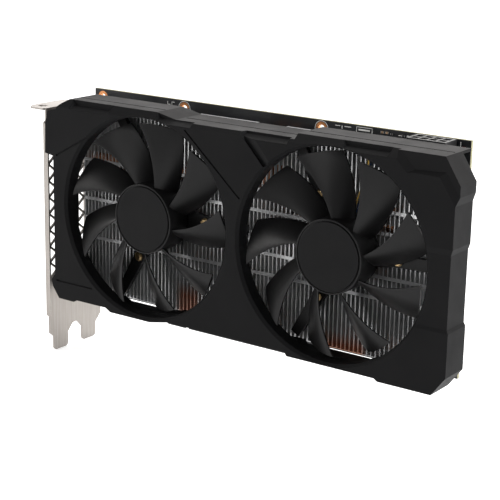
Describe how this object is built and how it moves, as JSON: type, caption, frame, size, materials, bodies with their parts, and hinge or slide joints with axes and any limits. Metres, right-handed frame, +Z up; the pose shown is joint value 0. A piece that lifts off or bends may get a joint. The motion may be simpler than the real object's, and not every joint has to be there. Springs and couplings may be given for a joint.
{
  "type": "graphics card",
  "caption": "Two-slot computer graphics card: circuit board with edge connector, steel bracket, finned heatsink with copper heat pipes and a black shroud with spinning fans.",
  "frame": {"origin": "bottom face of the edge connector, in the middle of the connector's length and of the board's thickness", "axes": "+Z up from the edge connector to the board's top edge, +X from the bracket towards the free end, -Y towards the fans"},
  "size_m": [0.2301, 0.0405, 0.1268],
  "materials": {
    "board": "black solder mask, satin",
    "bracket_steel": "brushed, warm grey",
    "shroud_plastic": "moulded, fine matt grain",
    "fan_plastic": "moulded, satin",
    "fin_metal": "bare sheet",
    "copper": "drawn copper tube",
    "winding": "enamelled copper wire",
    "bronze": "sintered bronze",
    "brass": "plated screw",
    "steel": "zinc plated",
    "magnet": "bonded ferrite",
    "label": "plain disc",
    "socket_plastic": "moulded",
    "header_plastic": "natural nylon",
    "chip_carrier": "green laminate",
    "chip": "moulded package",
    "die": "polished silicon",
    "port_shell": "tin plated shell",
    "lead": "sleeved wires"
  },
  "bodies": {
    "card": {"pcb": "board", "io_bracket": "bracket_steel", "display_port_1": "port_shell", "display_port_2": "port_shell", "display_port_3": "port_shell", "hdmi_port": "port_shell", "shroud": "shroud_plastic", "fin_stack": "fin_metal", "heat_pipe_over_left": "copper", "heat_pipe_over_right": "copper", "heat_pipe_hairpin_left": "copper", "heat_pipe_hairpin_right": "copper", "base_plate": "fin_metal", "gpu_carrier": "chip_carrier", "gpu_die": "die", "memory_chip_1": "chip", "memory_chip_2": "chip", "memory_chip_3": "chip", "memory_chip_4": "chip", "memory_chip_5": "chip", "memory_chip_6": "chip", "choke_1": "chip", "choke_2": "chip", "choke_3": "chip", "choke_4": "chip", "capacitor_1": "port_shell", "capacitor_2": "port_shell", "fan_header_left": "header_plastic", "fan_header_right": "header_plastic", "power_socket": "socket_plastic", "retention_plate": "steel", "spring_screw_1": "steel", "spring_screw_2": "steel", "spring_screw_3": "steel", "spring_screw_4": "steel", "bracket_screw_1": "steel", "bracket_screw_2": "steel", "fan_left_frame": "fan_plastic", "fan_left_stator": "winding", "fan_left_bearing": "bronze", "fan_left_lead": "lead", "fan_left_screw_1": "brass", "fan_left_screw_2": "brass", "fan_left_screw_3": "brass", "fan_right_frame": "fan_plastic", "fan_right_stator": "winding", "fan_right_bearing": "bronze", "fan_right_lead": "lead", "fan_right_screw_1": "brass", "fan_right_screw_2": "brass", "fan_right_screw_3": "brass"},
    "fan_left": {"fan_left_rotor": "fan_plastic", "fan_left_label": "label", "fan_left_magnet": "magnet", "fan_left_shaft": "steel"},
    "fan_right": {"fan_right_rotor": "fan_plastic", "fan_right_label": "label", "fan_right_magnet": "magnet", "fan_right_shaft": "steel"}
  },
  "joints": [
    {"name": "fan_left_spin", "type": "hinge", "parent": "card", "child": "fan_left", "pos_m": [-0.02865, -0.02879, 0.06155], "axis": [0, -1, 0], "continuous": true},
    {"name": "fan_right_spin", "type": "hinge", "parent": "card", "child": "fan_right", "pos_m": [0.07115, -0.02879, 0.06155], "axis": [0, -1, 0], "continuous": true}
  ]
}
